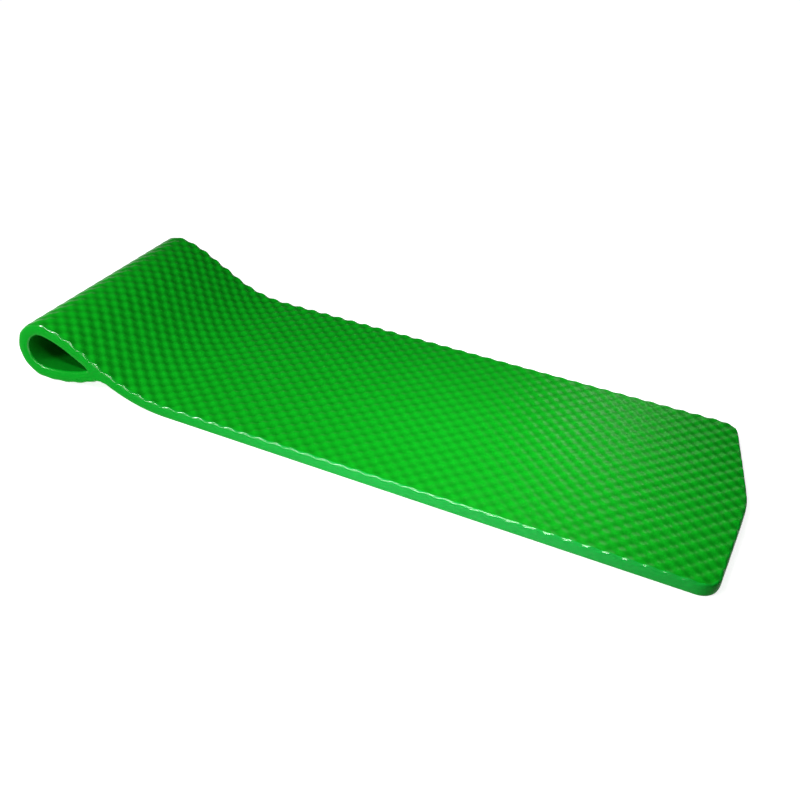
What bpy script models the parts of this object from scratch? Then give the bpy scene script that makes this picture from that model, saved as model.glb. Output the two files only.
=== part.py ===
"""Vinyl-coated foam pool float with a rolled pillow.

One foam sheet lies flat, curves up at the head, rolls under itself into a
pillow and is bonded to its own underside along a skived edge. A vinyl coat
covers it: bumps on the face, plain vinyl below, inside the roll and round the
cut edges. +X runs from the pillow to the foot, +Y across, +Z up, in metres.
The origin is on the floor, under the middle of the float.
"""
import math
from functools import lru_cache

import bmesh
import bpy
from mathutils.geometry import delaunay_2d_cdt

# Overall size
overall_length = 1.778
overall_width = 0.660
sheet_thickness = 0.032          # underside to the mean level of the bumps

# Long section, measured on the plain lower face of the sheet
bend_radius = 0.395              # where the sheet starts to curve up
rise_angle = math.radians(28.0)  # slope of the sheet in front of the pillow
crest_radius = 0.260             # gentle turn from the slope to the crest
crest_angle = math.radians(10.0)  # slope where the tight roll begins
roll_radius = 0.045              # plain face inside the tight roll
tuck_radius = 0.330              # slow turn of the tucked flap below the roll
tuck_angle = math.radians(24.0)
floor_clearance = 0.0005         # lowest bump of the pillow above the floor

# Plan of the foot end
foot_bow = 0.046                 # how far the foot end bulges out
foot_corner_radius = 0.046

# Edges, seen across the sheet
face_shoulder = 0.008            # rounding at the bumpy face
under_shoulder = 0.004           # rounding at the plain face

# Bumps: a square lattice of peaks with a hollow between every four
bump_pitch_length = 0.042
bump_pitch_width = 0.04125
bump_height = 0.002              # peaks above and hollows below the mean level

# Coats and joint
face_coat = 0.0008               # vinyl under the deepest hollow
under_coat = 0.0008
edge_coat = 0.0012
bond_thickness = 0.0008
gap = 0.0003                     # between neighbouring pieces

# How finely curves are drawn
shoulder_steps = 3
foot_arc_step = 0.045
corner_steps = 5
smallest_cell = 0.45             # of half a bump pitch, at the ends of a row
sharp_angle = math.radians(35.0)  # edges above it are shaded as corners

# How closely two faces are brought together by halving
halvings = 50
probe = 1e-5

# Sizes that follow
half_width = overall_width / 2
half_pitch = bump_pitch_length / 2
half_row = bump_pitch_width / 2
face_coat_floor = sheet_thickness - bump_height - face_coat
core_top = face_coat_floor - gap
core_bottom = under_coat + gap
core_side = edge_coat + gap


def normal(heading):
    """Unit vector from the plain face to the bumpy face, in x and z."""
    return math.sin(heading), math.cos(heading)


def make_path():
    """Straights and arcs of the plain face, from the foot to the tucked end.

    Each piece is (length along the bumpy face, start heading, turn, radius, x, z).
    A heading is 0 towards the head and positive upwards. The radius is the plain
    face's, negative where the sheet bends up.
    """
    roll_top = floor_clearance + bump_height + sheet_thickness + 2 * roll_radius
    crest_start = (roll_top - roll_radius * (1 - math.cos(crest_angle))
                   - crest_radius * (math.cos(crest_angle) - math.cos(rise_angle)))
    bend_top = bend_radius * (1 - math.cos(rise_angle))
    slope_length = max(half_pitch, (crest_start - bend_top) / math.sin(rise_angle))
    head = (bump_height + sheet_thickness + roll_radius
            + roll_radius * math.sin(crest_angle)
            + crest_radius * (math.sin(rise_angle) - math.sin(crest_angle))
            + slope_length * math.cos(rise_angle)
            + bend_radius * math.sin(rise_angle))
    flat_length = overall_length - head
    steps = [
        ("straight", flat_length, 0.0, 0.0),
        ("up", bend_radius, 0.0, rise_angle),
        ("straight", slope_length, rise_angle, 0.0),
        ("down", crest_radius, rise_angle, crest_angle - rise_angle),
        ("down", roll_radius, crest_angle, -math.pi - crest_angle),
        ("down", tuck_radius, -math.pi, -tuck_angle),
        ("straight", overall_length, -math.pi - tuck_angle, 0.0),
    ]
    pieces = []
    x, z = overall_length / 2, 0.0
    for kind, size, heading, turn in steps:
        if kind == "straight":
            pieces.append((size, heading, 0.0, 0.0, x, z))
            x -= size * math.cos(heading)
            z += size * math.sin(heading)
            continue
        side = -size if kind == "up" else size
        outer = size - sheet_thickness if kind == "up" else size + sheet_thickness
        pieces.append((outer * abs(turn), heading, turn, side, x, z))
        n0, n1 = normal(heading), normal(heading + turn)
        x += side * (n1[0] - n0[0])
        z += side * (n1[1] - n0[1])
    return pieces


path = make_path()
flat_end = path[0][0]
slope_end = sum(piece[0] for piece in path[:3])
tuck_start = sum(piece[0] for piece in path[:5])


def section(s, depth):
    """x, z at length s along the bumpy face, depth above the plain face."""
    for length, heading, turn, side, x, z in path[:-1]:
        if s <= length:
            break
        s -= length
    else:
        length, heading, turn, side, x, z = path[-1]
    if turn == 0.0:
        x -= s * math.cos(heading)
        z += s * math.sin(heading)
        n = normal(heading)
    else:
        n0, n = normal(heading), normal(heading + turn * s / length)
        x += side * (n[0] - n0[0])
        z += side * (n[1] - n0[1])
    return x + n[0] * depth, z + n[1] * depth


def sheet_depth(x, z):
    """Length along the sheet in front of the pillow, and depth there, of a point."""
    low, high = 0.0, slope_end
    for _ in range(halvings):
        s = (low + high) / 2
        ahead = section(s + probe, 0.0)
        here = section(s, 0.0)
        along = (x - here[0]) * (ahead[0] - here[0]) + (z - here[1]) * (ahead[1] - here[1])
        if along > 0:
            low = s
        else:
            high = s
    top = section(s, 1.0)
    return s, (x - here[0]) * (top[0] - here[0]) + (z - here[1]) * (top[1] - here[1])


@lru_cache(maxsize=None)
def meet(flap_depth, own_depth):
    """Where a layer of the tucked flap reaches a depth of the sheet above it."""
    low, high = tuck_start, tuck_start + overall_length / 2
    for _ in range(halvings):
        s = (low + high) / 2
        if sheet_depth(*section(s, flap_depth))[1] < own_depth:
            low = s
        else:
            high = s
    return s, sheet_depth(*section(s, flap_depth))[0]


def flap_end(depth):
    """Length at which the skived flap ends, for one layer of its thickness."""
    return meet(round(depth, 7), -gap)[0]


tail_start = flap_end(0.0) - bump_pitch_length
sheet_end = flap_end(sheet_thickness)


def place(u, y, depth):
    """World point of a place on the sheet: length, across, above the plain face."""
    if u > tail_start:
        share = (u - tail_start) / (sheet_end - tail_start)
        u = tail_start + share * (flap_end(depth) - tail_start)
    x, z = section(u, depth)
    return x, y, z


def foot_rim():
    """Points and outward normals of the foot end, from the near to the far side."""
    bow_radius = (half_width ** 2 + foot_bow ** 2) / (2 * foot_bow)
    corner_y = half_width - foot_corner_radius
    corner_u = bow_radius - math.sqrt((bow_radius - foot_corner_radius) ** 2 - corner_y ** 2)
    swing = math.asin(corner_y / (bow_radius - foot_corner_radius))
    points = []
    for i in range(corner_steps + 1):
        a = math.pi / 2 + (swing - math.pi / 2) * i / corner_steps
        n = (-math.cos(a), -math.sin(a))
        points.append((corner_u + foot_corner_radius * n[0],
                       -corner_y + foot_corner_radius * n[1], n))
    count = max(2, round(2 * swing * bow_radius / foot_arc_step))
    for i in range(1, count):
        a = swing - 2 * swing * i / count
        n = (-math.cos(a), -math.sin(a))
        points.append((bow_radius + bow_radius * n[0], bow_radius * n[1], n))
    mirror = [(u, -y, (n[0], -n[1])) for u, y, n in reversed(points[:corner_steps + 1])]
    return points + mirror


foot = foot_rim()
corner_end = foot[0][0]


def columns(first, last, dense):
    """Lengths of the cross lines; the flat part needs them only where it is bumpy."""
    count = math.floor((last - first) / half_pitch)
    lines = [first + half_pitch * k for k in range(count + 1)]
    if last - lines[-1] < smallest_cell * half_pitch:
        lines.pop()
    lines.append(last)
    if dense:
        return lines
    return [u for i, u in enumerate(lines) if u > flat_end - half_pitch or i in (0, len(lines) - 1)]


def rim(first, last, inset, dense=False):
    """Outline from the tucked end down the near side, round the foot and back."""
    lines = columns(first, last, dense)
    near = [(u, -half_width + inset) for u in reversed(lines)]
    end = [(u - n[0] * inset, y - n[1] * inset) for u, y, n in foot[1:-1]]
    far = [(u, half_width - inset) for u in lines]
    return near + end + far


def to_object(name, corners, faces, material):
    """Object from numbered corners and faces, closed, with its faces outwards."""
    mesh = bpy.data.meshes.new(name)
    work = bmesh.new()
    verts = [work.verts.new(c) for c in corners]
    for face in faces:
        work.faces.new([verts[i] for i in face])
    bmesh.ops.triangulate(work, faces=[f for f in work.faces if len(f.verts) > 4])
    bmesh.ops.recalc_face_normals(work, faces=work.faces)
    work.to_mesh(mesh)
    work.free()
    mesh.materials.append(material)
    mesh.shade_smooth()
    mesh.set_sharp_from_angle(angle=sharp_angle)
    item = bpy.data.objects.new(name, mesh)
    bpy.context.collection.objects.link(item)
    return item


def triangles(outline, inner=(), ties=()):
    """Triangles of a flat outline with inner points, keeping the tied edges."""
    count = len(outline)
    points = list(outline) + list(inner)
    ring = [(i, (i + 1) % count) for i in range(count)]
    out = delaunay_2d_cdt(points, ring + list(ties), [list(range(count))], 1, 1e-7)
    number = [ids[0] for ids in out[3]]
    return [tuple(number[i] for i in face) for face in out[2]]


def cross_ties(outline):
    """Edges straight across between outline points at the same length."""
    near = {round(u, 7): i for i, (u, y) in enumerate(outline) if y < 0}
    return [(near[round(u, 7)], i) for i, (u, y) in enumerate(outline)
            if y > 0 and round(u, 7) in near]


def plate(name, outline, top, bottom, material, inner=(), ties=()):
    """Thin plate: an upper face at depths given by top, a plain lower face."""
    count = len(outline)
    upper = list(outline) + list(inner)
    corners = [place(u, y, top(u, y)) for u, y in upper]
    corners += [place(u, y, bottom) for u, y in outline]
    base = len(upper)
    faces = triangles(outline, inner, ties if inner else cross_ties(outline))
    faces += [tuple(base + i for i in reversed(f))
              for f in triangles(outline, (), cross_ties(outline))]
    for i in range(count):
        j = (i + 1) % count
        faces.append((i, j, base + j, base + i))
    return to_object(name, corners, faces, material)


def shoulder(inset, side, level, flat, first, last):
    """Quarter turn at an edge, from the angle first to last in quarter turns."""
    points = []
    for i in range(shoulder_steps + 1):
        a = math.pi / 2 * (first + (last - first) * i / shoulder_steps)
        points.append((inset - (inset - side) * math.cos(a), level + (flat - level) * math.sin(a)))
    return points


def edge_line(side, top, bottom):
    """Cross-section of the sheet's edge from the plain face up to the bumpy face."""
    low = shoulder(under_shoulder, side, under_shoulder, bottom, 1, 0)
    high = shoulder(face_shoulder, side, sheet_thickness - face_shoulder, top, 0, 1)
    return low + high


def make_core(material):
    """Foam sheet: edge rounded top and bottom, rolled, its tucked end skived."""
    line = edge_line(core_side, core_top, core_bottom)
    loops = [[(u, y, d) for u, y in rim(corner_end, sheet_end, inset)] for inset, d in line]
    corners = [place(*point) for loop in loops for point in loop]
    count = len(loops[0])
    faces = []
    for j in range(len(loops) - 1):
        for i in range(count - 1):
            a = j * count + i
            faces.append((a, a + 1, a + count + 1, a + count))
        a = j * count
        faces.append((a, a + count, a + 2 * count - 1, a + count - 1))
    for level in (0, len(loops) - 1):
        outline = [(u, y) for u, y, d in loops[level]]
        faces += [tuple(level * count + i for i in f)
                  for f in triangles(outline, (), cross_ties(outline))]
    return to_object("foam_core", corners, faces, material)


def make_edge_coat(material):
    """Vinyl round the cut edge: near side, foot and far side, with its two lips."""
    lip = gap / 2
    outer = edge_line(0.0, sheet_thickness, 0.0)
    inner = edge_line(edge_coat, face_coat_floor, under_coat)
    outer[0] = (outer[0][0] - lip, outer[0][1])
    outer[-1] = (outer[-1][0] - lip, outer[-1][1])
    inner[0] = (inner[0][0] - lip, inner[0][1])
    inner[-1] = (inner[-1][0] - lip, inner[-1][1])
    line = outer + inner[::-1]
    loops = [[(u, y, d) for u, y in rim(corner_end, sheet_end, inset)] for inset, d in line]
    corners = [place(*point) for loop in loops for point in loop]
    count = len(loops[0])
    faces = []
    for j in range(len(loops)):
        k = (j + 1) % len(loops)
        for i in range(count - 1):
            faces.append((j * count + i, j * count + i + 1, k * count + i + 1, k * count + i))
    half = len(outer)
    for end in (0, count - 1):
        for j in range(half - 1):
            k = 2 * half - 1 - j
            faces.append(tuple(m * count + end for m in (j, j + 1, k - 1, k)))
    return to_object("edge_coat", corners, faces, material)


def inside(point, outline, margin):
    """True where a point lies inside an outline, clear of its edges."""
    x, y = point
    within = False
    for i, (ax, ay) in enumerate(outline):
        bx, by = outline[i - 1]
        dx, dy = bx - ax, by - ay
        t = max(0.0, min(1.0, ((x - ax) * dx + (y - ay) * dy) / (dx * dx + dy * dy)))
        if math.hypot(ax + t * dx - x, ay + t * dy - y) < margin:
            return False
        if (ay > y) != (by > y) and x < ax + (y - ay) * dx / dy:
            within = not within
    return within


def make_top_coat(material):
    """Vinyl of the bumpy face, from the foot over the pillow to the tucked edge."""
    inset = face_shoulder + gap / 2
    rows = math.floor((half_width - inset) / half_row - smallest_cell)
    levels = range(-rows, rows + 1)
    outline = rim(corner_end, sheet_end, inset, dense=True)
    outline += [(sheet_end, -m * half_row) for m in levels]
    lines = columns(corner_end, sheet_end, True)
    ahead = math.ceil(corner_end / half_pitch)
    lines = [corner_end - half_pitch * k for k in range(ahead, 0, -1)] + lines[:-1]
    number = {}
    inner, heights = [], []
    for k, u in enumerate(lines):
        for m in levels:
            if inside((u, m * half_row), outline, smallest_cell * half_row):
                number[k, m] = len(outline) + len(inner)
                inner.append((u, m * half_row))
                heights.append(bump_height if (k + m) % 2 else -bump_height)
    ties = []
    for k, m in number:
        for step in (-1, 1):
            if (k + m) % 2 and (k + 1, m + step) in number:
                ties.append((number[k, m], number[k + 1, m + step]))
    height = {point: sheet_thickness + h for point, h in zip(inner, heights)}
    return plate("top_coat", outline, lambda u, y: height.get((u, y), sheet_thickness),
                 face_coat_floor, material, inner, ties)


def make_underside_coat(material):
    """Plain vinyl below the sheet, from the foot to the notch under the flap."""
    flap_side = sheet_thickness + bump_height + gap
    last = meet(round(flap_side, 7), under_coat)[1]
    outline = rim(corner_end, last, under_shoulder + gap / 2)
    return plate("underside_coat", outline, lambda u, y: under_coat, 0.0, material)


def make_roll_lining(material):
    """Plain vinyl tube inside the pillow, pointed where the flap meets the sheet."""
    reach = half_width - under_shoulder - gap / 2
    tips = {depth: meet(depth, depth) for depth in (0.0, under_coat)}
    first = max(own for flap, own in tips.values()) + half_pitch / 2
    last = min(flap for flap, own in tips.values()) - half_pitch / 2
    lines = [u for u in columns(corner_end, sheet_end, True) if first < u < last]
    rings = [[section(flap, depth)] + [section(u, depth) for u in lines]
             for depth, (flap, own) in tips.items()]
    corners = [(x, side * reach, z) for side in (-1, 1) for ring in rings for x, z in ring]
    count = len(rings[0])
    faces = []
    for i in range(count):
        j = (i + 1) % count
        faces.append((i, j, 2 * count + j, 2 * count + i))
        faces.append((count + i, count + j, 3 * count + j, 3 * count + i))
        faces.append((i, j, count + j, count + i))
        faces.append((2 * count + i, 2 * count + j, 3 * count + j, 3 * count + i))
    return to_object("roll_lining", corners, faces, material)


def make_pillow_bond(material):
    """Adhesive between the skived end of the flap and the sheet above it."""
    reach = half_width - under_shoulder - gap / 2
    levels = (core_bottom - gap - bond_thickness, core_bottom - gap)
    outline = []
    for depth in levels:
        tip = meet(core_bottom, depth)[1]
        heel = meet(round(core_top, 7), depth)[1]
        run = [tip + (heel - tip) * i / shoulder_steps for i in range(shoulder_steps + 1)]
        outline.append([section(u, depth) for u in run])
    ring = outline[0] + outline[1][::-1]
    count = len(ring)
    corners = [(x, side * reach, z) for side in (-1, 1) for x, z in ring]
    faces = [(i, (i + 1) % count, count + (i + 1) % count, count + i) for i in range(count)]
    for base in (0, count):
        for i in range(shoulder_steps):
            faces.append(tuple(base + k for k in (i, i + 1, count - 2 - i, count - 1 - i)))
    return to_object("pillow_bond", corners, faces, material)


def make_material(name, colour, roughness):
    """Plain material with a colour and a roughness; nothing here is metal."""
    material = bpy.data.materials.new(name)
    material.use_nodes = True
    shader = material.node_tree.nodes["Principled BSDF"]
    shader.inputs["Base Color"].default_value = (*colour, 1.0)
    shader.inputs["Roughness"].default_value = roughness
    shader.inputs["Metallic"].default_value = 0.0
    return material


for old in list(bpy.data.objects):
    bpy.data.objects.remove(old, do_unlink=True)

make_core(make_material("pale_green_foam", (0.30, 0.58, 0.30), 0.9))
make_pillow_bond(make_material("amber_adhesive", (0.55, 0.38, 0.12), 0.4))
make_top_coat(make_material("green_vinyl_face", (0.010, 0.330, 0.022), 0.32))
make_underside_coat(make_material("green_vinyl_underside", (0.010, 0.300, 0.020), 0.4))
make_roll_lining(make_material("green_vinyl_lining", (0.008, 0.260, 0.018), 0.4))
make_edge_coat(make_material("green_vinyl_edge", (0.014, 0.380, 0.030), 0.3))
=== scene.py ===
# %% [markdown]
# # A foam pool float with a rolled pillow
# The real thing is one long sheet of closed-cell foam in a skin of green vinyl. Its face is
# covered with low round bumps. The head end is rolled under itself and glued to its own
# underside, which makes a pillow with an open tunnel through it.
#
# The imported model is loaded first. It fixes every size here, so this script never moves or
# resizes it: it builds finer skins on the same sheet and gives them their finish.

# %% Load the frame
import math

import bpy
import numpy as np
from mathutils import Matrix, Vector
from mathutils.geometry import delaunay_2d_cdt


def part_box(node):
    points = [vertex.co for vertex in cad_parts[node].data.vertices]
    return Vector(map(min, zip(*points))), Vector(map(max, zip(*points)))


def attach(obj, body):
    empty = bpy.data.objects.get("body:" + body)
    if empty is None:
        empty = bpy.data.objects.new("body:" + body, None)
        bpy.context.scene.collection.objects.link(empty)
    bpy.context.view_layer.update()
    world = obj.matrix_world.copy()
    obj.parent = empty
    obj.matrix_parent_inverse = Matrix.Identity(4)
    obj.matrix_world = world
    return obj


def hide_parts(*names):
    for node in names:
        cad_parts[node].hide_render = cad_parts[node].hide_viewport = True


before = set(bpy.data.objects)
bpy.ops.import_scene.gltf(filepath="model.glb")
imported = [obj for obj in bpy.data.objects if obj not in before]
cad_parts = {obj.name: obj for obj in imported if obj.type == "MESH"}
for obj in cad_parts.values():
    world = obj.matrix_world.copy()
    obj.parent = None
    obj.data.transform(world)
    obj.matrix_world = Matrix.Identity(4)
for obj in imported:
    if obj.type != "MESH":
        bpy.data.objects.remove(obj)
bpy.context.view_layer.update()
print("nodes:", sorted(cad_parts))

# %% [markdown]
# ## The camera
# The photograph looks down on the float from beyond its near side. The place and the lens were
# worked out from the sheet's straight edges and its even rows of bumps. The camera leans a
# little, as a hand-held one does, so its roll is a value of its own and not hidden in a table.

# %% Place the camera
camera_place = Vector((0.5968, -1.8187, 1.2543))
camera_aim = Vector((-0.1406, -0.0419, 0.0))
camera_roll = math.radians(4.162)
camera_data = bpy.data.cameras.new("camera")
camera_data.sensor_width = 36.0
camera_data.lens = 39.616
camera_data.shift_x = 0.09375
camera_data.shift_y = -0.00375
camera = bpy.data.objects.new("camera", camera_data)
turn = (camera_aim - camera_place).to_track_quat("-Z", "Y").to_matrix()
camera.matrix_world = (Matrix.Translation(camera_place)
                       @ (turn @ Matrix.Rotation(camera_roll, 3, "Z")).to_4x4())
bpy.context.scene.collection.objects.link(camera)
bpy.context.scene.camera = camera
print("camera %.2f m above the floor" % camera_place.z)

# %% [markdown]
# ## The sheet's long section
# Seen from the side, the sheet is a chain of straights and arcs: flat from the foot, a bend up, a
# straight slope, a gentle crest, the tight roll, the slow turn of the tucked flap, and its
# straight end. A chain of arcs beats a curve drawn by hand: each radius is one number, and any
# point of the sheet follows from two lengths, the way along the sheet and the height above its
# plain lower face.

# %% Sizes of the sheet, in metres
overall_length = 1.778
half_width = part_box("edge_coat")[1].y
sheet_thickness = 0.032
bump_height = 0.002
bend_radius = 0.395
rise_angle = math.radians(28.0)
crest_radius = 0.260
crest_angle = math.radians(10.0)
roll_radius = 0.045
tuck_radius = 0.330
tuck_angle = math.radians(24.0)
floor_clearance = 0.0005
print("sheet %.3f m long, %.3f m wide, %.0f mm thick" % (overall_length, 2 * half_width,
                                                         1000 * sheet_thickness))

# %% Lay the path of straights and arcs


def lay_path():
    """Rows of start, length, heading, turn, radius, x and z, from the foot to the tucked end."""
    roll_top = floor_clearance + bump_height + sheet_thickness + 2 * roll_radius
    crest_start = (roll_top - roll_radius * (1 - math.cos(crest_angle))
                   - crest_radius * (math.cos(crest_angle) - math.cos(rise_angle)))
    slope = (crest_start - bend_radius * (1 - math.cos(rise_angle))) / math.sin(rise_angle)
    head = (bump_height + sheet_thickness + roll_radius + roll_radius * math.sin(crest_angle)
            + crest_radius * (math.sin(rise_angle) - math.sin(crest_angle))
            + slope * math.cos(rise_angle) + bend_radius * math.sin(rise_angle))
    steps = [(overall_length - head, 0.0, 0.0, 0.0),
             (0.0, 0.0, rise_angle, -bend_radius),
             (slope, rise_angle, 0.0, 0.0),
             (0.0, rise_angle, crest_angle - rise_angle, crest_radius),
             (0.0, crest_angle, -math.pi - crest_angle, roll_radius),
             (0.0, -math.pi, -tuck_angle, tuck_radius),
             (overall_length, -math.pi - tuck_angle, 0.0, 0.0)]
    legs = []
    start, x, z = 0.0, overall_length / 2, 0.0
    for run, heading, turned, radius in steps:
        length = run or abs(radius + sheet_thickness) * abs(turned)
        legs.append((start, length, heading, turned, radius, x, z))
        x += radius * (math.sin(heading + turned) - math.sin(heading)) - run * math.cos(heading)
        z += radius * (math.cos(heading + turned) - math.cos(heading)) + run * math.sin(heading)
        start += length
    return np.array(legs)


path = lay_path()
flat_end, slope_end, roll_start, tuck_start = path[1, 0], path[3, 0], path[4, 0], path[5, 0]
print("flat stretch %.3f m, roll starts %.3f m along" % (flat_end, roll_start))

# %% Find points of the section


def section(s, depth):
    """x and z of places on the sheet: s along the bumpy face, depth above the plain face."""
    s = np.asarray(s, float)
    leg = np.clip(np.searchsorted(path[:, 0], s, side="right") - 1, 0, len(path) - 1)
    start, length, heading, turned, radius, x, z = path[leg].T
    angle = heading + turned * (s - start) / length
    run = np.where(turned == 0.0, s - start, 0.0)
    x = x + radius * (np.sin(angle) - np.sin(heading)) - run * np.cos(heading)
    z = z + radius * (np.cos(angle) - np.cos(heading)) + run * np.sin(heading)
    return x + np.sin(angle) * depth, z + np.cos(angle) * depth


print("bumpy face is %.3f m above the floor where the roll starts"
      % section(roll_start, sheet_thickness)[1])

# %% [markdown]
# ## Where the flap is glued on
# The tucked end is cut on a slant, so that it lies flat against the underside. The slant isn't
# drawn: each layer of the flap runs on until it reaches the plain face above it. A dense
# row of points along that face is enough to find the place for any layer.

# %% Find the end of each layer of the flap
search_step = 0.0002
shortest_flap = 0.05
longest_flap = 0.30
layer_count = 9
own_s = np.arange(flat_end, slope_end, search_step)
own_x, own_z = section(own_s, 0.0)
own_up = np.array(section(own_s, 1.0)) - np.array([own_x, own_z])


def layer_end(depth):
    """Length at which a layer of the flap reaches the plain face, and the length there."""
    s = np.arange(tuck_start + shortest_flap, tuck_start + longest_flap, search_step)
    x, z = section(s, depth)
    nearest = np.argmin((x[:, None] - own_x) ** 2 + (z[:, None] - own_z) ** 2, axis=1)
    height = (x - own_x[nearest]) * own_up[0, nearest] + (z - own_z[nearest]) * own_up[1, nearest]
    k = int(np.argmax(height > 0))
    share = height[k] / (height[k] - height[k - 1])
    return s[k] - share * (s[k] - s[k - 1]), own_s[nearest[k]]


layer_depths = np.linspace(0.0, sheet_thickness, layer_count)
layer_ends = np.array([layer_end(depth)[0] for depth in layer_depths])
flap_tip, tunnel_tip = layer_end(0.0)
sheet_end, notch = layer_end(sheet_thickness)
print("tunnel starts at %.4f, notch at %.4f, sheet ends at %.4f" % (tunnel_tip, notch, sheet_end))

# %% Find points in space
tail_length = 0.042
tail_start = flap_tip - tail_length


def place(u, y, depth, short=0.0):
    """Points in space of places on the sheet; the flap's layers end on the slant, or short of it."""
    share = np.maximum(0.0, (u - tail_start) / (sheet_end - tail_start))
    end = np.interp(depth, layer_depths, layer_ends) - short
    x, z = section(np.where(share > 0, tail_start + share * (end - tail_start), u), depth)
    return np.stack([x, y + 0.0 * x, z], axis=-1)


print("middle of the foot end's face:", place(0.0, 0.0, sheet_thickness).round(4))

# %% [markdown]
# ## The outline in plan
# Looked at from above, the sheet is a long rectangle whose foot end comes to a blunt point: two
# nearly straight halves meet in a soft bend on the centre line, which one branch of a hyperbola
# gives. The outline is kept as points with outward normals, so that the rim can be swept along
# it in one band: up one side from the tucked end, round the foot and back along the other side.

# %% The pointed foot end
cell = 0.0039
foot_slant = 0.130
foot_bend = 0.030
foot_corner_radius = 0.045
meeting_rounds = 8


def foot_arc():
    """Points and outward normals of the foot end, from the near corner to the far one."""
    corner_y = half_width - foot_corner_radius
    meet_y = half_width
    for _ in range(meeting_rounds):
        swing = math.atan(foot_slant * meet_y / math.hypot(meet_y, foot_bend))
        meet_y = corner_y + foot_corner_radius * math.sin(swing)
    meet_u = foot_slant * (math.hypot(meet_y, foot_bend) - foot_bend)
    corner_u = meet_u + foot_corner_radius * math.cos(swing)
    corner_steps = round(foot_corner_radius * math.pi / 2 / cell)
    corner = np.linspace(math.pi / 2, swing, corner_steps + 1)
    y = np.linspace(-meet_y, meet_y, round(2 * meet_y / cell) + 1)[1:-1]
    half_angle = -np.arctan(foot_slant * y / np.hypot(y, foot_bend))
    angle = np.concatenate([corner, half_angle, -corner[::-1]])
    nu, ny = -np.cos(angle), -np.sin(angle)
    u = corner_u + foot_corner_radius * nu
    u[len(corner):-len(corner)] = foot_slant * (np.hypot(y, foot_bend) - foot_bend)
    near_y = -corner_y + foot_corner_radius * ny[:len(corner)]
    return u, np.concatenate([near_y, y, -near_y[::-1]]), nu, ny


arc_u, arc_y, arc_nu, arc_ny = foot_arc()
print("foot end of %d points, the sides start %.0f mm from its tip" % (len(arc_u), 1000 * arc_u[0]))

# %% The whole outline with its outward normals
last_line = round((sheet_end - arc_u[0]) / cell)
lines = np.linspace(arc_u[0], sheet_end, last_line + 1)
notch_line = int(np.argmin(abs(lines - notch)))
tunnel_line = int(np.argmin(abs(lines - tunnel_tip)))
lines[notch_line] = notch
lines[tunnel_line] = tunnel_tip
ones = np.ones(last_line)
rim_u = np.concatenate([lines[:0:-1], arc_u, lines[1:]])
rim_y = np.concatenate([-half_width * ones, arc_y, half_width * ones])
rim_nu = np.concatenate([0 * ones, arc_nu, 0 * ones])
rim_ny = np.concatenate([-ones, arc_ny, ones])
rim_count = len(rim_u)

# Numbers of the rim's points at the near end and the far end of each line across
near_of = last_line - np.arange(last_line + 1)
far_of = rim_count - 1 - last_line + np.arange(last_line + 1)
print("outline of %d points, %d lines across" % (rim_count, last_line + 1))

# %% [markdown]
# ## Across the edge
# The cut edge of the foam isn't a square one: the skin turns over a soft shoulder, bulges a little
# on the side and turns under. Where the flap is glued on, both edges lose their rounding, because
# the dipped skin runs over the joint without a break.

# %% Rows of the rim, from the face downwards
face_shoulder = 0.0058
under_shoulder = 0.0055
side_lean = math.radians(14.0)
joint_fade = 0.016
least_rounding = 0.06
shoulder_steps = 8
side_steps = 8
under_steps = 6
row_count = shoulder_steps + side_steps + under_steps + 1


def smooth(t):
    """Soft step from 0 to 1."""
    t = np.clip(t, 0.0, 1.0)
    return t * t * (3 - 2 * t)


from_joint = (abs(rim_u - (notch + tunnel_tip) / 2) - (tunnel_tip - notch) / 2) / joint_fade
from_end = (sheet_end - rim_u) / joint_fade
face_round = np.maximum(least_rounding, smooth(from_end))
under_round = np.maximum(least_rounding, np.minimum(smooth(from_joint), smooth(from_end)))


def rim_rows(side=0.0, top=0.0, bottom=0.0):
    """Inset, depth and share of the bumps of each row, sunk below the outer surface."""
    r1 = face_shoulder * face_round
    r2 = under_shoulder * under_round
    lean = side_lean * np.minimum(face_round, under_round)
    high = sheet_thickness - r1 + r1 * np.sin(lean)
    low = r2 - r2 * np.sin(lean)
    bulge = np.tan(lean) * (high - low) / 4
    rows = []
    for k in range(shoulder_steps + 1):
        a = math.pi / 2 + (lean - math.pi / 2) * k / shoulder_steps
        rows.append((bulge + r1 * (np.cos(lean) - np.cos(a)) + side * np.cos(a),
                     sheet_thickness - r1 + (r1 - top) * np.sin(a),
                     (np.sin(a) - np.sin(lean)) / (1 - np.sin(lean))))
    for k in range(1, side_steps + 1):
        t = 1 - 2 * k / side_steps
        rows.append((bulge * t * t + side, (high + low) / 2 + t * (high - low) / 2, 0 * bulge))
    for k in range(1, under_steps + 1):
        a = lean + (math.pi / 2 - lean) * k / under_steps
        rows.append((bulge + r2 * (np.cos(lean) - np.cos(a)) + side * np.cos(a),
                     r2 - (r2 - bottom) * np.sin(a), 0 * bulge))
    return rows


rim = rim_rows()
print("rim of %d rows, side bulges by %.1f mm" % (row_count, 1000 * rim[shoulder_steps][0].max()))

# %% [markdown]
# ## The bumps
# The face is moulded in a square pattern: four bumps round each hollow and four hollows round
# each bump. The product of two cosines is exactly that, and it is round everywhere, as foam is.
# On this sheet the pattern is a little stretched towards the head, so the pitch grows along
# the sheet. The bumps are low on the flat stretch and higher on the slope. The tight roll pulls
# them nearly flat, and they die away down the shoulder and in the glued notch.

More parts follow.
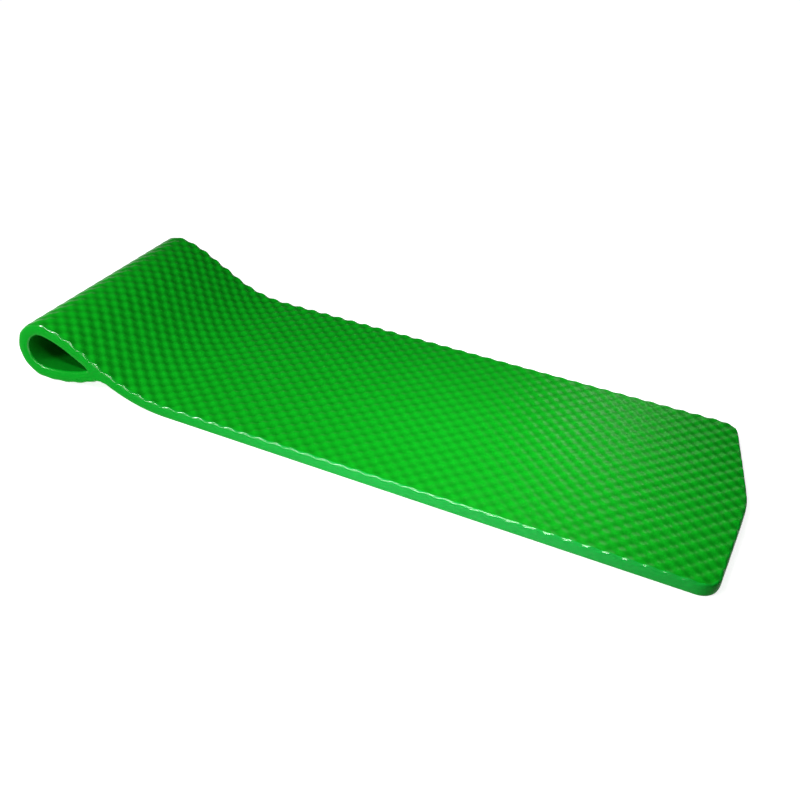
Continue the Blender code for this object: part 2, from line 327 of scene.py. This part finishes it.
# %% Height of the bumps
pitch_at_foot = 0.0385
pitch_at_head = 0.0460
pitch_across = 0.04125
relief_along = {0.0: 0.0028, 0.28: 0.0019, 0.50: 0.0014, 0.66: 0.0017, flat_end - 0.50: 0.0023,
                flat_end - 0.33: 0.0032, slope_end + 0.01: 0.0037, roll_start + 0.05: 0.0011,
                tuck_start - 0.07: 0.0009, tuck_start - 0.01: 0.0020}
highest_relief = max(relief_along.values())
stretch = (pitch_at_head - pitch_at_foot) / sheet_end


def wave(u, y):
    """The bumps' pattern, from -1 in a hollow to 1 on a peak."""
    along = np.log1p(stretch * u / pitch_at_foot) / stretch
    return -np.cos(2 * math.pi * along) * np.cos(2 * math.pi * y / pitch_across)


def relief(u, y):
    """Height of the face above its mean level."""
    height = np.interp(u, list(relief_along), list(relief_along.values()))
    return height * smooth((sheet_end - u) / joint_fade) * wave(u, y)


print("%d bumps along a row" % (math.log(pitch_at_head / pitch_at_foot) / stretch))

# %% [markdown]
# ## One surface, cut into skins
# The real skin is dipped on in one piece, so it is made as one surface first, and its smooth
# normals are measured there. Then it is cut along lines where its finish changes: the bumpy
# face, the plain edge, the plain underside and the inside of the tunnel. Each cut piece keeps the
# normals of the whole, and so no seam shows between them.

# %% Number the points of the rim
places = [np.stack([rim_u - rim_nu * inset, rim_y - rim_ny * inset,
                    depth + share * relief(rim_u - rim_nu * inset, rim_y - rim_ny * inset)])
          for inset, depth, share in rim]
places = [np.concatenate(places, axis=1)]


def add_places(u, y, depth):
    """Add places on the sheet to the surface and return their numbers."""
    first = sum(group.shape[1] for group in places)
    u, y = np.ravel(u), np.ravel(y)
    places.append(np.stack([u, y, depth(u, y)]))
    return np.arange(first, first + len(u))


print("%d points on the rim" % places[0].shape[1])

# %% Fill the sheet between two lines across


def fill(row, first, last, columns, depth):
    """Grid of numbers and its faces, across the sheet between two lines and inside a row."""
    at = np.arange(first, last + 1)
    reach = half_width - rim[row][0][near_of[at]]
    sides = 2 * np.arange(1, columns) / columns - 1
    middle = add_places(np.outer(lines[at], np.ones(columns - 1)), np.outer(reach, sides), depth)
    grid = np.column_stack([row * rim_count + near_of[at], middle.reshape(len(at), -1),
                            row * rim_count + far_of[at]])
    corners = [grid[:-1, :-1], grid[:-1, 1:], grid[1:, 1:], grid[1:, :-1]]
    return grid, np.stack(corners, axis=-1).reshape(-1, 4).tolist()


# %% Fill the pointed foot end
least_clearance = 0.6
merge_distance = 1e-7
inside_only = 1


def fill_foot(row, border, spacing, depth):
    """Triangles between the pointed foot end and the first line across."""
    arc = row * rim_count + np.arange(near_of[0], far_of[0] + 1)
    ring = np.concatenate([arc, border[-2:0:-1]])
    outline = np.concatenate(places, axis=1)[:2, ring].T
    end_u, end_y = outline[:len(arc)].T
    u, y = np.meshgrid(lines[0] - spacing * np.arange(1, round(lines[0] / spacing) + 1),
                       spacing * np.arange(-round(half_width / spacing), 1 + half_width // spacing))
    u, y = u.ravel(), y.ravel()
    clear = np.hypot(u[:, None] - outline[:, 0], y[:, None] - outline[:, 1]).min(axis=1)
    inner = (clear > least_clearance * spacing) & (u > np.interp(y, end_y, end_u)) & (abs(y) < end_y[-1])
    numbers = np.concatenate([ring, add_places(u[inner], y[inner], depth)])
    points = [tuple(p) for p in outline] + list(zip(u[inner].tolist(), y[inner].tolist()))
    edges = [(i, (i + 1) % len(ring)) for i in range(len(ring))]
    cut = delaunay_2d_cdt(points, edges, [list(range(len(ring)))], inside_only, merge_distance)
    triangles, origins = cut[2], cut[3]
    return [[int(numbers[origins[i][0]]) for i in reversed(face)] for face in triangles]


# %% Depth of the two broad faces
plain_unevenness = 0.00022
calm_border = 0.05
calm_margin = 0.01
calm_foot = 0.10
ripple_rates = (61.0, 47.0)
bend_rates = (9.0, 11.0)
bend_reach = 2.0


def face_depth(u, y):
    """Depth of the bumpy face above the plain one."""
    return sheet_thickness + relief(u, y)


def plain_depth(u, y):
    """The plain face is a little uneven, and only ever sinks into the sheet."""
    off_side = smooth((half_width - calm_margin - abs(y)) / calm_border)
    off_ends = smooth(abs(u - notch) / calm_border) * smooth((sheet_end - u) / calm_border)
    off_foot = smooth((u - lines[0]) / calm_foot)
    along = np.sin(ripple_rates[0] * u + bend_reach * np.sin(bend_rates[0] * y))
    across = np.sin(ripple_rates[1] * y + bend_reach * np.sin(bend_rates[1] * u))
    return plain_unevenness * off_side * off_ends * off_foot * (1 + along * across)


# %% The four skins as lists of faces
columns_face = 2 * round(half_width / cell)
columns_plain = 24
spacing_plain = 4 * cell
face_grid, face_faces = fill(0, 0, last_line, columns_face, face_depth)
face_faces += fill_foot(0, face_grid[0], cell, face_depth)
under_grid, under_faces = fill(row_count - 1, 0, notch_line, columns_plain, plain_depth)
under_faces += fill_foot(row_count - 1, under_grid[0], spacing_plain, plain_depth)
tunnel_grid, tunnel_faces = fill(row_count - 1, tunnel_line, last_line, columns_plain, plain_depth)
under_faces = [face[::-1] for face in under_faces]
tunnel_faces = [face[::-1] for face in tunnel_faces]


def band(first, last):
    """Faces of the rim between two of its rows."""
    return [[k * rim_count + i, (k + 1) * rim_count + i,
             (k + 1) * rim_count + i + 1, k * rim_count + i + 1]
            for k in range(first, last) for i in range(rim_count - 1)]


edge_faces = band(0, row_count - 1)
sheet_u, sheet_y, sheet_depth = np.concatenate(places, axis=1)
surface = place(sheet_u, sheet_y, sheet_depth)
print("surface of %d points and %d faces" % (len(surface), len(face_faces) + len(under_faces)
                                             + len(tunnel_faces) + len(edge_faces)))

# %% Measure the smooth normals of the whole surface
whole = bpy.data.meshes.new("whole")
whole.from_pydata(surface.tolist(), [], face_faces + under_faces + tunnel_faces + edge_faces)
whole_normals = np.empty(3 * len(surface))
whole.vertices.foreach_get("normal", whole_normals)
whole_normals = whole_normals.reshape(-1, 3)
bpy.data.meshes.remove(whole)
print("%d normals, %d of them point up" % (len(whole_normals), (whole_normals[:, 2] > 0).sum()))

# %% [markdown]
# ## Marks for the finish
# Three things change over the skin that no texture in space can know: where the hollows are,
# where the film is pulled tight over the shoulders of the edge, and where the edge is painted
# lighter. Each is worked out for every point and kept on the mesh as an attribute, which a
# material reads by name.
#
# The film is tightest on the upper shoulder, which gives the edge its narrow bright line. The
# line is broader on the slope and the pillow, where the film is stretched over the roll. The
# film is slack round the foot end and a little slack in the bend, where the face is pushed
# together. Along the flat sides the edge is painted paler, which is painted light, and it stays
# darker on the pillow and the foot end, which is painted shade.

# %% Where the marks change, as starts and lengths in metres
line_rise = (0.04, 0.08)
line_narrows = (flat_end - 0.20, 0.25)
bend_rise = (flat_end - 0.13, 0.10)
bend_fall = (slope_end, 0.10)
corner_rise = (0.03, 0.07)
side_rise = (0.10, 0.30)
side_light_fall = (flat_end - 0.65, 0.90)


def rise(start, length):
    """0 up to a place along the sheet, and 1 from a length after it."""
    return smooth((sheet_u - start) / length)


# %% Marks of hollows, tight film and painted side light
lower_shoulder_gloss = 0.25
broad_line = 1.5
thin_line = 4.0
bend_slack = 0.4
corner_light_share = 0.6

# The bumps' wave at every point, read by the face's material for its painted shade in each hollow.
bump_mark = wave(sheet_u, sheet_y)
narrowness = thin_line + (broad_line - thin_line) * rise(*line_narrows)
shoulder_mark = np.zeros(len(sheet_u))
for first_row, steps, most in ((0, shoulder_steps, 1.0),
                               (shoulder_steps + side_steps, under_steps, lower_shoulder_gloss)):
    for k in range(steps + 1):
        here = slice((first_row + k) * rim_count, (first_row + k + 1) * rim_count)
        shoulder_mark[here] = most * math.sin(math.pi * k / steps) ** narrowness[here]
in_bend = rise(*bend_rise) - rise(*bend_fall)
shoulder_mark *= rise(*line_rise) * (1 - bend_slack * in_bend)
# Edge mark: painted light along the flat sides, painted shade at the foot end and the pillow.
from_foot = corner_light_share * rise(*corner_rise) + (1 - corner_light_share) * rise(*side_rise)
painted_side_light_and_gloss = from_foot * (1 - rise(*side_light_fall))
print("film is tight at %d points and thin at %d" % ((shoulder_mark > 0.5).sum(),
                                                     (painted_side_light_and_gloss > 0.5).sum()))

# %% [markdown]
# ## Closed skins
# A film of no thickness has no inside and tears open in other programs. Each skin therefore gets
# a lining on the foam's side and a wall along its border. The lining of a wide skin needs
# only long strips from side to side, since nothing shows there.

# %% Linings in long strips
film = 0.0008
foam_gap = 0.0003
face_floor = sheet_thickness - highest_relief - film


def strips(row, first, last, grid=None):
    """Long faces from side to side, with every border point of the grid if there is one."""
    near, far = row * rim_count + near_of, row * rim_count + far_of
    faces = [[near[i], near[i + 1], far[i + 1], far[i]] for i in range(first, last)]
    if grid is not None:
        faces[-1][2:2] = grid[-1, 1:-1].tolist()
    if first:
        faces[0] += grid[0, -2:0:-1].tolist()
    else:
        faces.append([near[0], far[0]] + list(range(far[0] - 1, near[0], -1)))
    return [[int(i) for i in face] for face in faces]


# %% Put a piece in the scene


def put_in_scene(name, points, faces):
    """Smooth object that rides on the only body."""
    mesh = bpy.data.meshes.new(name)
    mesh.from_pydata(points.tolist(), [], faces)
    mesh.shade_smooth()
    piece = bpy.data.objects.new(name, mesh)
    bpy.context.scene.collection.objects.link(piece)
    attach(piece, "root")
    sides = {(a, b) for face in faces for a, b in zip(face, face[1:] + face[:1])}
    closed = all((b, a) in sides for a, b in sides)
    print("%s: %d points, %d faces, closed %s" % (name, len(points), len(faces), closed))
    return piece


# %% Close a skin


def make_skin(name, faces, lining, inner):
    """Closed skin from outer faces, lining faces and the inner place of each point."""
    outside = sorted({i for face in faces for i in face})
    inside = sorted({i for face in lining for i in face})
    number = {i: k for k, i in enumerate(outside)}
    under = {i: len(outside) + k for k, i in enumerate(inside)}
    sides = {(a, b) for face in faces for a, b in zip(face, face[1:] + face[:1])}
    walls = [[number[b], number[a], under[a], under[b]] for a, b in sides if (b, a) not in sides]
    walls.sort()
    points = np.concatenate([surface[outside], inner[inside]])
    all_faces = [[number[i] for i in face] for face in faces]
    all_faces += [[under[i] for i in face] for face in lining] + walls
    piece = put_in_scene(name, points, all_faces)
    normals = np.concatenate([whole_normals[outside], -whole_normals[inside]])
    piece.data.normals_split_custom_set_from_vertices(normals.tolist())
    for label, values in (("bump", bump_mark), ("shoulder", shoulder_mark), ("lighter", painted_side_light_and_gloss)):
        mark = piece.data.attributes.new(label, "FLOAT", "POINT")
        mark.data.foreach_set("value", np.concatenate([values[outside], np.zeros(len(inside))]))
    return piece


# %% Make the four skins
inner_film = surface - film * whole_normals
face_skin = make_skin("face_skin", face_faces, strips(0, 0, last_line, face_grid),
                      place(sheet_u, sheet_y, face_floor))
under_skin = make_skin("under_skin", under_faces,
                       [face[::-1] for face in strips(row_count - 1, 0, notch_line, under_grid)],
                       place(sheet_u, sheet_y, film))
tunnel_skin = make_skin("tunnel_skin", tunnel_faces,
                        [face[::-1] for face in strips(row_count - 1, tunnel_line, last_line,
                                                       tunnel_grid)],
                        place(sheet_u, sheet_y, film))
edge_skin = make_skin("edge_skin", edge_faces, [face[::-1] for face in edge_faces], inner_film)
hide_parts("top_coat")
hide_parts("underside_coat")
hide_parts("roll_lining")
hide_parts("edge_coat")

# %% [markdown]
# ## The foam inside
# The foam has the same outline, a film's thickness further in. It is swept the same way, and its
# end is cut on the slant that lies against the underside, just short of the glue.

# %% Make the foam sheet
sunk = film + foam_gap
glue_room = 0.0006
sharp_angle = math.radians(35)
foam_rows = rim_rows(side=sunk, top=highest_relief + sunk, bottom=sunk)
foam_points = np.concatenate([place(rim_u - rim_nu * inset, rim_y - rim_ny * inset, depth, glue_room)
                              for inset, depth, share in foam_rows])
foam_faces = band(0, row_count - 1) + [face[::-1] for face in strips(0, 0, last_line)]
foam_faces += strips(row_count - 1, 0, last_line)
for k in range(row_count - 1):
    near, far = k * rim_count, (k + 1) * rim_count - 1
    foam_faces.append([near + rim_count, near, far, far + rim_count])
foam_sheet = put_in_scene("foam_sheet", foam_points, foam_faces)
foam_sheet.data.set_sharp_from_angle(angle=sharp_angle)
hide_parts("foam_core")

# %% [markdown]
# ## A finish for dipped vinyl
# Dipped vinyl is never quite even: its colour drifts a little with its thickness, its gloss
# changes in soft patches, and under a lamp it has a fine orange peel. Four vinyls share that,
# so it is a node group with its own inputs. The shader stays in each material, where its
# gloss can be set plainly.

# %% Helpers for nodes


def add_node(tree, kind, values=None, **settings):
    """New node with its settings and the values of its sockets."""
    node = tree.nodes.new(kind)
    for key, value in settings.items():
        setattr(node, key, value)
    for key, value in (values or {}).items():
        node.inputs[key].default_value = value
    return node


def new_group(name, inputs, outputs):
    """Empty node group with named sockets, and its two end nodes."""
    group = bpy.data.node_groups.new(name, "ShaderNodeTree")
    for label, kind in inputs:
        group.interface.new_socket(label, in_out="INPUT", socket_type=kind)
    for label, kind in outputs:
        group.interface.new_socket(label, in_out="OUTPUT", socket_type=kind)
    return group, group.nodes.new("NodeGroupInput"), group.nodes.new("NodeGroupOutput")


# %% Nodes of the group for vinyl film
drift_scale = 7.0
patch_scale = 55.0
peel_scale = 420.0
least_noise = 0.35
most_noise = 0.65
film_finish, given, result = new_group(
    "film_finish",
    [("Colour", "NodeSocketColor"), ("Lighter Colour", "NodeSocketColor"),
     ("Mottle", "NodeSocketFloat"), ("Least Roughness", "NodeSocketFloat"),
     ("Most Roughness", "NodeSocketFloat"), ("Peel", "NodeSocketFloat"),
     ("Painted Light", "NodeSocketFloat")],
    [("Colour", "NodeSocketColor"), ("Roughness", "NodeSocketFloat"),
     ("Height", "NodeSocketFloat")])
space = add_node(film_finish, "ShaderNodeTexCoord")
drift = add_node(film_finish, "ShaderNodeTexNoise", {"Scale": drift_scale, "Detail": 2.0})
patch = add_node(film_finish, "ShaderNodeTexNoise", {"Scale": patch_scale, "Detail": 3.0})
peel = add_node(film_finish, "ShaderNodeTexNoise", {"Scale": peel_scale, "Detail": 2.0})
patchy_drift = add_node(film_finish, "ShaderNodeMath", operation="MULTIPLY")
amount = add_node(film_finish, "ShaderNodeMath", operation="MULTIPLY_ADD", use_clamp=True)
tone = add_node(film_finish, "ShaderNodeMix", data_type="RGBA")
patch_gloss = add_node(film_finish, "ShaderNodeMapRange",
                       {"From Min": least_noise, "From Max": most_noise})
peel_height = add_node(film_finish, "ShaderNodeMath", operation="MULTIPLY")
print("film_finish has %d nodes" % len(film_finish.nodes))

# %% Links of the group for vinyl film
join = film_finish.links.new
for noise in (drift, patch, peel):
    join(space.outputs["Object"], noise.inputs["Vector"])
join(drift.outputs["Fac"], patchy_drift.inputs[0])
join(patch.outputs["Fac"], patchy_drift.inputs[1])
join(patchy_drift.outputs[0], amount.inputs[0])
join(given.outputs["Mottle"], amount.inputs[1])
# Painted light: the Painted Light input moves the tone towards the lighter colour.
join(given.outputs["Painted Light"], amount.inputs[2])
join(amount.outputs[0], tone.inputs["Factor"])
join(given.outputs["Colour"], tone.inputs["A"])
join(given.outputs["Lighter Colour"], tone.inputs["B"])
join(patch.outputs["Fac"], patch_gloss.inputs["Value"])
join(given.outputs["Least Roughness"], patch_gloss.inputs["To Min"])
join(given.outputs["Most Roughness"], patch_gloss.inputs["To Max"])
join(peel.outputs["Fac"], peel_height.inputs[0])
join(given.outputs["Peel"], peel_height.inputs[1])
join(tone.outputs["Result"], result.inputs["Colour"])
join(patch_gloss.outputs["Result"], result.inputs["Roughness"])
join(peel_height.outputs[0], result.inputs["Height"])
print("film_finish has %d links" % len(film_finish.links))

# %% [markdown]
# ## Four vinyls from one recipe
# The face is painted darker in each hollow, as painted shade. On the edge, painted light makes it
# paler along the flat sides, and a clear coat gives the shine of the film pulled tight over the
# shoulder. The inside of the tunnel is painted a deeper green, as painted shade.

# %% A vinyl material
# hollow_top is the level of the bumps' wave above which the painted shade is gone.
hollow_top = 0.6
side_gloss = 0.06
tight_roughness = 0.13
tight_ior = 2.2


def vinyl(name, colour, lighter, mottle, roughness, peel_depth, specular, painted_hollow_shade=0.0, edge=False):
    """Vinyl material with painted shade in each hollow by a share; an edge reads side light and tight
    marks.
    """
    material = bpy.data.materials.new(name)
    material.use_nodes = True
    tree = material.node_tree
    shader = tree.nodes["Principled BSDF"]
    finish = add_node(tree, "ShaderNodeGroup", node_tree=film_finish)
    for key, value in (("Colour", (*colour, 1.0)), ("Lighter Colour", (*lighter, 1.0)),
                       ("Mottle", mottle), ("Least Roughness", roughness[0]),
                       ("Most Roughness", roughness[1]), ("Peel", peel_depth)):
        finish.inputs[key].default_value = value
    bump = add_node(tree, "ShaderNodeBump", {"Strength": 1.0, "Distance": 1.0})
    colour_out = finish.outputs["Colour"]
    # Painted shade: the colour is darkened in each hollow of the bumps.
    if painted_hollow_shade:
        wave_value = add_node(tree, "ShaderNodeAttribute", attribute_name="bump")
        shade = add_node(tree, "ShaderNodeMapRange",
                         {"From Min": -1.0, "From Max": hollow_top,
                          "To Min": 1 - painted_hollow_shade, "To Max": 1.0})
        darken = add_node(tree, "ShaderNodeMix", {"Factor": 1.0}, data_type="RGBA",
                          blend_type="MULTIPLY")
        tree.links.new(wave_value.outputs["Fac"], shade.inputs["Value"])
        tree.links.new(colour_out, darken.inputs["A"])
        tree.links.new(shade.outputs["Result"], darken.inputs["B"])
        colour_out = darken.outputs["Result"]
    tree.links.new(colour_out, shader.inputs["Base Color"])
    tree.links.new(finish.outputs["Roughness"], shader.inputs["Roughness"])
    tree.links.new(finish.outputs["Height"], bump.inputs["Height"])
    tree.links.new(bump.outputs["Normal"], shader.inputs["Normal"])
    shader.inputs["Specular IOR Level"].default_value = specular
    if edge:
        # Painted light: the side light mark makes the edge's colour lighter; it also adds coat gloss.
        side_light_read = add_node(tree, "ShaderNodeAttribute", attribute_name="lighter")
        tight_film = add_node(tree, "ShaderNodeAttribute", attribute_name="shoulder")
        coat = add_node(tree, "ShaderNodeMath", {1: side_gloss}, operation="MULTIPLY_ADD")
        tree.links.new(side_light_read.outputs["Fac"], finish.inputs["Painted Light"])
        tree.links.new(side_light_read.outputs["Fac"], coat.inputs[0])
        tree.links.new(tight_film.outputs["Fac"], coat.inputs[2])
        tree.links.new(coat.outputs[0], shader.inputs["Coat Weight"])
        shader.inputs["Coat Roughness"].default_value = tight_roughness
        shader.inputs["Coat IOR"].default_value = tight_ior
    return material


# %% Vinyl of the face, the edge, the underside and the tunnel
face_vinyl = vinyl("face_vinyl", colour=(0.0025, 0.355, 0.009), lighter=(0.0045, 0.455, 0.019),
                   mottle=0.5, roughness=(0.30, 0.40), peel_depth=0.00001, specular=0.055,
                   painted_hollow_shade=0.32)
# Edge colours: the dark one is painted shade on the pillow and foot, the lighter one painted light.
edge_vinyl = vinyl("edge_vinyl", colour=(0.0015, 0.275, 0.010), lighter=(0.008, 0.46, 0.055),
                   mottle=0.3, roughness=(0.20, 0.28), peel_depth=0.00001, specular=0.02,
                   edge=True)
plain_vinyl = vinyl("plain_vinyl", colour=(0.0015, 0.27, 0.009), lighter=(0.004, 0.34, 0.018),
                    mottle=0.5, roughness=(0.28, 0.40), peel_depth=0.00002, specular=0.25)
# Painted shade: the tunnel is given a deeper green than the underside.
shaded_tunnel_vinyl = vinyl("shaded_tunnel_vinyl", colour=(0.0010, 0.17, 0.006), lighter=(0.003, 0.22, 0.011),
                     mottle=0.5, roughness=(0.28, 0.40), peel_depth=0.00002, specular=0.20)
for skin, skin_vinyl in ((face_skin, face_vinyl), (edge_skin, edge_vinyl),
                         (under_skin, plain_vinyl), (tunnel_skin, shaded_tunnel_vinyl)):
    skin.data.materials.append(skin_vinyl)
    print("%s is finished in %s" % (skin.name, skin_vinyl.name))

# %% [markdown]
# ## Foam and glue
# Neither shows on a whole float, but both would where the skin is cut or lifted. Closed-cell
# foam is a pack of fine bubbles, which a cell texture gives directly. Contact glue is
# amber, and it is thicker in some places than in others.

# %% A material of two tones
dent_strength = 0.6


def two_tone(name, texture, output, dark, light, roughness, dent):
    """Material whose colour and relief follow one texture in space."""
    material = bpy.data.materials.new(name)
    material.use_nodes = True
    tree = material.node_tree
    shader = tree.nodes["Principled BSDF"]
    where = add_node(tree, "ShaderNodeTexCoord")
    pattern = add_node(tree, *texture)
    ramp = add_node(tree, "ShaderNodeValToRGB")
    ramp.color_ramp.elements[0].color = (*dark, 1.0)
    ramp.color_ramp.elements[1].color = (*light, 1.0)
    bump = add_node(tree, "ShaderNodeBump", {"Strength": dent_strength, "Distance": dent})
    tree.links.new(where.outputs["Object"], pattern.inputs["Vector"])
    tree.links.new(pattern.outputs[output], ramp.inputs["Fac"])
    tree.links.new(ramp.outputs["Color"], shader.inputs["Base Color"])
    tree.links.new(pattern.outputs[output], bump.inputs["Height"])
    tree.links.new(bump.outputs["Normal"], shader.inputs["Normal"])
    shader.inputs["Roughness"].default_value = roughness
    return material


# %% Foam and glue materials
bubble_scale = 900.0
glue_scale = 120.0
foam = two_tone("foam", ("ShaderNodeTexVoronoi", {"Scale": bubble_scale}), "Distance",
                dark=(0.18, 0.44, 0.19), light=(0.34, 0.62, 0.34), roughness=0.9, dent=0.0003)
glue = two_tone("glue", ("ShaderNodeTexNoise", {"Scale": glue_scale, "Detail": 3.0}), "Fac",
                dark=(0.36, 0.22, 0.06), light=(0.62, 0.45, 0.16), roughness=0.4, dent=0.0004)
foam_sheet.data.materials.append(foam)
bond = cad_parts["pillow_bond"]
bond.data.materials.clear()
bond.data.materials.append(glue)
print("%s is finished in %s, and %s in %s" % (foam_sheet.name, foam.name, bond.name, glue.name))

# %% [markdown]
# ## Floor and light
# The photograph is a plain studio one on white, and five soft lamps give its light. The key lamp
# stands far off on the near left, and its low light draws the steep stripes of the bumps. A
# close lamp above the right half makes the face brightest there. A long thin strip above the near
# side is the bright line along the edge. A weak lamp in front lights the near side, and a hooded
# panel behind the far side is the pale patch near the foot. Other views look straight at
# some of these lamps, so all of them are hidden from the camera.
#
# The white around the float is what rays see, and adds no light to it: the floor and the world
# glow for camera rays, and for rays that a surface reflects or lets through. Low bumps would
# turn grey if they mirrored a white sky, so in reflections it is white only near the horizon.
# The lamps reach only the middle of the floor, and so its glow grows with the distance.

# %% Floor
floor_size = 60.0
floor_drop = 0.0003
floor_grey = 0.8
floor_mesh = bpy.data.meshes.new("studio_floor")
floor_mesh.from_pydata([(-floor_size / 2, -floor_size / 2, 0), (floor_size / 2, -floor_size / 2, 0),
                        (floor_size / 2, floor_size / 2, 0), (-floor_size / 2, floor_size / 2, 0)],
                       [], [(0, 1, 2, 3)])
studio_floor = bpy.data.objects.new("studio_floor", floor_mesh)
studio_floor.location.z = -floor_drop
bpy.context.scene.collection.objects.link(studio_floor)
floor_white = bpy.data.materials.new("floor_white")
floor_white.use_nodes = True
floor_tree = floor_white.node_tree
floor_shader = floor_tree.nodes["Principled BSDF"]
floor_shader.inputs["Base Color"].default_value = (floor_grey, floor_grey, floor_grey, 1.0)
floor_shader.inputs["Roughness"].default_value = 0.9
floor_shader.inputs["Specular IOR Level"].default_value = 0.1
floor_shader.inputs["Emission Color"].default_value = (1.0, 1.0, 1.0, 1.0)
floor_mesh.materials.append(floor_white)
print("floor %.0f m wide, %.1f mm below the float" % (floor_size, 1000 * floor_drop))

# %% Glow of the floor for rays that see it


def seen_rays(tree):
    """Two values of 0 or 1: seen by the camera, and seen in a mirror or through glass."""
    rays = add_node(tree, "ShaderNodeLightPath")
    reflected = add_node(tree, "ShaderNodeMath", operation="MAXIMUM")
    tree.links.new(rays.outputs["Is Glossy Ray"], reflected.inputs[0])
    tree.links.new(rays.outputs["Is Transmission Ray"], reflected.inputs[1])
    return rays.outputs["Is Camera Ray"], reflected.outputs[0]


floor_lift = 0.86
far_lift = 0.95
lit_radius = 1.1
unlit_radius = 2.2
floor_place = add_node(floor_tree, "ShaderNodeTexCoord")
from_middle = add_node(floor_tree, "ShaderNodeVectorMath", operation="LENGTH")
floor_glow = add_node(floor_tree, "ShaderNodeMapRange",
                      {"From Min": lit_radius, "From Max": unlit_radius,
                       "To Min": floor_lift, "To Max": far_lift})
floor_seen = add_node(floor_tree, "ShaderNodeMath", operation="MAXIMUM")
lift = add_node(floor_tree, "ShaderNodeMath", operation="MULTIPLY")
for socket, source in zip(floor_seen.inputs, seen_rays(floor_tree)):
    floor_tree.links.new(source, socket)
floor_tree.links.new(floor_place.outputs["Object"], from_middle.inputs[0])
floor_tree.links.new(from_middle.outputs["Value"], floor_glow.inputs["Value"])
floor_tree.links.new(floor_glow.outputs["Result"], lift.inputs[1])
floor_tree.links.new(floor_seen.outputs[0], lift.inputs[0])
floor_tree.links.new(lift.outputs[0], floor_shader.inputs["Emission Strength"])
print("floor glows at %.2f, and at %.2f from %.1f m away" % (floor_lift, far_lift, unlit_radius))

# %% World
world = bpy.data.worlds.new("studio")
world.use_nodes = True
studio = world.node_tree
backdrop = studio.nodes["Background"]
backdrop.inputs["Color"].default_value = (1.0, 1.0, 1.0, 1.0)
room_light = 0.08
sky_white = 0.92
horizon_low = 0.05
horizon_high = 0.20
looking = add_node(studio, "ShaderNodeTexCoord")
upward = add_node(studio, "ShaderNodeSeparateXYZ")
horizon = add_node(studio, "ShaderNodeMapRange",
                   {"From Min": horizon_low, "From Max": horizon_high,
                    "To Min": 1.0, "To Max": 0.0})
low_white = add_node(studio, "ShaderNodeMath", operation="MULTIPLY")
white = add_node(studio, "ShaderNodeMath", operation="MAXIMUM")
shown = add_node(studio, "ShaderNodeMath", {1: sky_white, 2: room_light},
                 operation="MULTIPLY_ADD")
camera_sees, mirror_sees = seen_rays(studio)
studio.links.new(looking.outputs["Generated"], upward.inputs["Vector"])
studio.links.new(upward.outputs["Z"], horizon.inputs["Value"])
studio.links.new(horizon.outputs["Result"], low_white.inputs[0])
studio.links.new(mirror_sees, low_white.inputs[1])
studio.links.new(camera_sees, white.inputs[0])
studio.links.new(low_white.outputs[0], white.inputs[1])
studio.links.new(white.outputs[0], shown.inputs[0])
studio.links.new(shown.outputs[0], backdrop.inputs["Strength"])
bpy.context.scene.world = world
print("world lights the float at %.2f and shows white up to %.2f" % (room_light,
                                                                     room_light + sky_white))

# %% Lamps


def add_lamp(name, spot, aim, width, height, watts, spread=180.0):
    """Soft rectangular lamp at a spot, facing another; a hood narrows its spread in degrees."""
    data = bpy.data.lights.new(name, "AREA")
    data.shape = "RECTANGLE"
    data.size, data.size_y, data.energy = width, height, watts
    data.spread = math.radians(spread)
    lamp = bpy.data.objects.new(name, data)
    lamp.location = spot
    lamp.visible_camera = False
    lamp.rotation_mode = "QUATERNION"
    lamp.rotation_quaternion = (Vector(aim) - Vector(spot)).to_track_quat("-Z", "Y")
    bpy.context.scene.collection.objects.link(lamp)
    return lamp


lamps = [add_lamp("key_lamp", spot=(-1.95, -1.80, 1.15), aim=(0.2, 0.0, 0.0),
                  width=0.5, height=0.5, watts=27.0),
         add_lamp("close_lamp", spot=(0.34, -0.16, 0.72), aim=(0.34, -0.10, 0.0),
                  width=0.35, height=0.35, watts=5.0),
         add_lamp("strip_lamp", spot=(-0.60, -1.05, 1.45), aim=(-0.45, -0.3, 0.0),
                  width=2.0, height=0.08, watts=20.0),
         add_lamp("front_lamp", spot=(-0.7, -2.1, 0.6), aim=(0.1, -0.3, 0.0),
                  width=0.5, height=0.4, watts=6.8),
         add_lamp("far_panel", spot=(0.60, 1.0, 0.54), aim=(0.45, 0.15, 0.0),
                  width=0.40, height=0.25, watts=0.32, spread=60.0)]
print("%d lamps of %.1f W in all" % (len(lamps), sum(lamp.data.energy for lamp in lamps)))

# %% Colour view
bpy.context.scene.view_settings.view_transform = "Standard"
print("colours shown by the", bpy.context.scene.view_settings.view_transform, "view")
